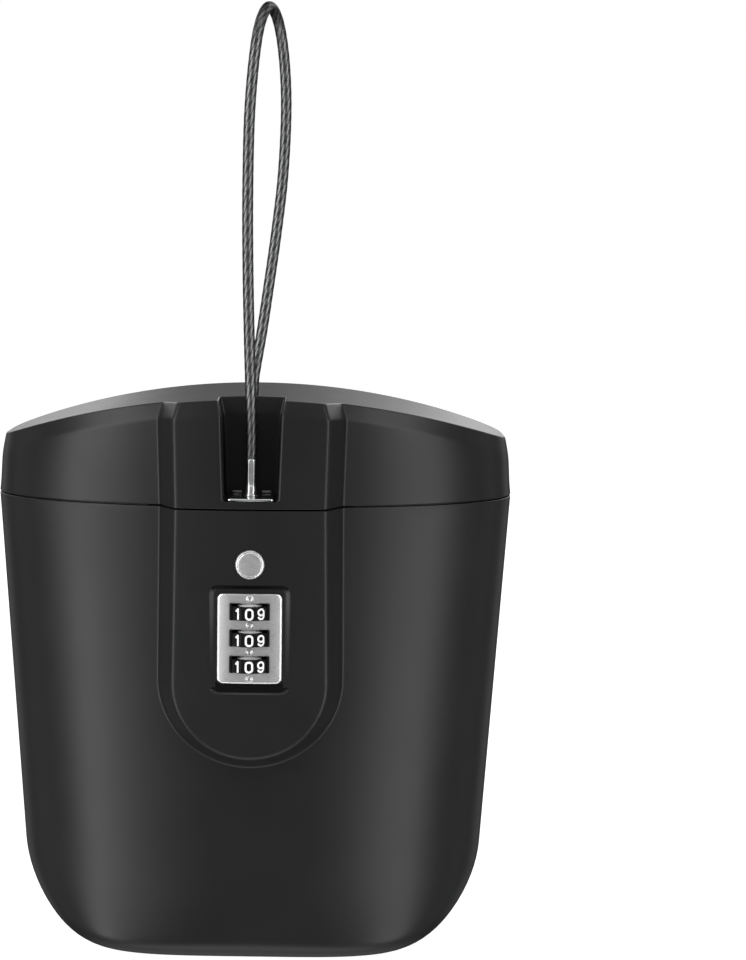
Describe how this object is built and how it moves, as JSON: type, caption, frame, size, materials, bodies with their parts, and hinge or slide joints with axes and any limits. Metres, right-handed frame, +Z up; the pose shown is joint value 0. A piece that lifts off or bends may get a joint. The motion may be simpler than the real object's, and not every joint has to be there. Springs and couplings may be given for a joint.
{
  "type": "travel safe",
  "caption": "Portable lidded safe with a D-shaped plastic case, rear-hinged arched lid, steel cable loop with locking stud, combination dials and a release button on a raised front panel.",
  "frame": {"origin": "on the flat base, on the case's mid plane, midway between the case's front and rear walls", "axes": "+X to the right as the front is seen, +Z up, the front panel faces -Y"},
  "size_m": [0.19, 0.1162, 0.3419],
  "materials": {
    "case_plastic": "satin moulded black",
    "lid_plastic": "satin moulded black",
    "inner_plastic": "matt black",
    "housing_plastic": "matt grey",
    "cable_steel": "twisted strands under a clear dark coat",
    "chrome": "polished",
    "button_metal": "satin silver",
    "bezel_metal": "brushed silver",
    "plain_steel": "zinc plated",
    "dial_plastic": "matt black with white digits"
  },
  "bodies": {
    "case": {"body_shell": "case_plastic", "hinge_pin": "plain_steel", "lock_case": "housing_plastic", "lock_bezel": "bezel_metal", "index_studs": "bezel_metal", "bar_spring": "plain_steel", "button_ring": "chrome", "button_spring": "plain_steel", "detent_spring": "plain_steel", "socket_bush": "plain_steel", "lock_cover": "inner_plastic", "case_screws": "plain_steel", "cover_screws": "plain_steel"},
    "lid": {"lid_shell": "lid_plastic", "strike_plate": "chrome", "cable_bushing": "inner_plastic"},
    "cable": {"steel_cable": "cable_steel", "cable_ferrule": "chrome", "locking_stud": "chrome", "stop_sleeve": "plain_steel"},
    "top_dial": {"dial_top": "dial_plastic", "cam_top": "plain_steel"},
    "middle_dial": {"dial_middle": "dial_plastic", "cam_middle": "plain_steel"},
    "bottom_dial": {"dial_bottom": "dial_plastic", "cam_bottom": "plain_steel"},
    "button": {"button_cap": "button_metal", "release_slide": "plain_steel"},
    "lock_bar": {"locking_bar": "plain_steel"}
  },
  "joints": [
    {"name": "lid_hinge", "type": "hinge", "parent": "case", "child": "lid", "pos_m": [0, 0.0505, 0.1645], "axis": [-1, 0, 0], "range_deg": [0, 105]},
    {"name": "cable_pull", "type": "slide", "parent": "lid", "child": "cable", "axis": [0, 0, 1], "range_m": [0, 0.024]},
    {"name": "top_dial_turn", "type": "hinge", "parent": "case", "child": "top_dial", "pos_m": [0, -0.0546, 0.12855], "axis": [0, 0, 1], "continuous": true},
    {"name": "middle_dial_turn", "type": "hinge", "parent": "case", "child": "middle_dial", "pos_m": [0, -0.0546, 0.1192], "axis": [0, 0, 1], "continuous": true},
    {"name": "bottom_dial_turn", "type": "hinge", "parent": "case", "child": "bottom_dial", "pos_m": [0, -0.0546, 0.10985], "axis": [0, 0, 1], "continuous": true},
    {"name": "button_press", "type": "slide", "parent": "case", "child": "button", "axis": [0, 1, 0], "range_m": [0, 0.0024], "stiffness_N_per_m": 600, "springref_m": -0.002, "deforming": ["button_spring"]},
    {"name": "bar_drop", "type": "slide", "parent": "case", "child": "lock_bar", "axis": [0, 0, -1], "range_m": [0, 0.0024], "deforming": ["bar_spring"]}
  ],
  "couplings": [
    {"joint": "bar_drop", "follows": "button_press", "ratio": 1}
  ]
}
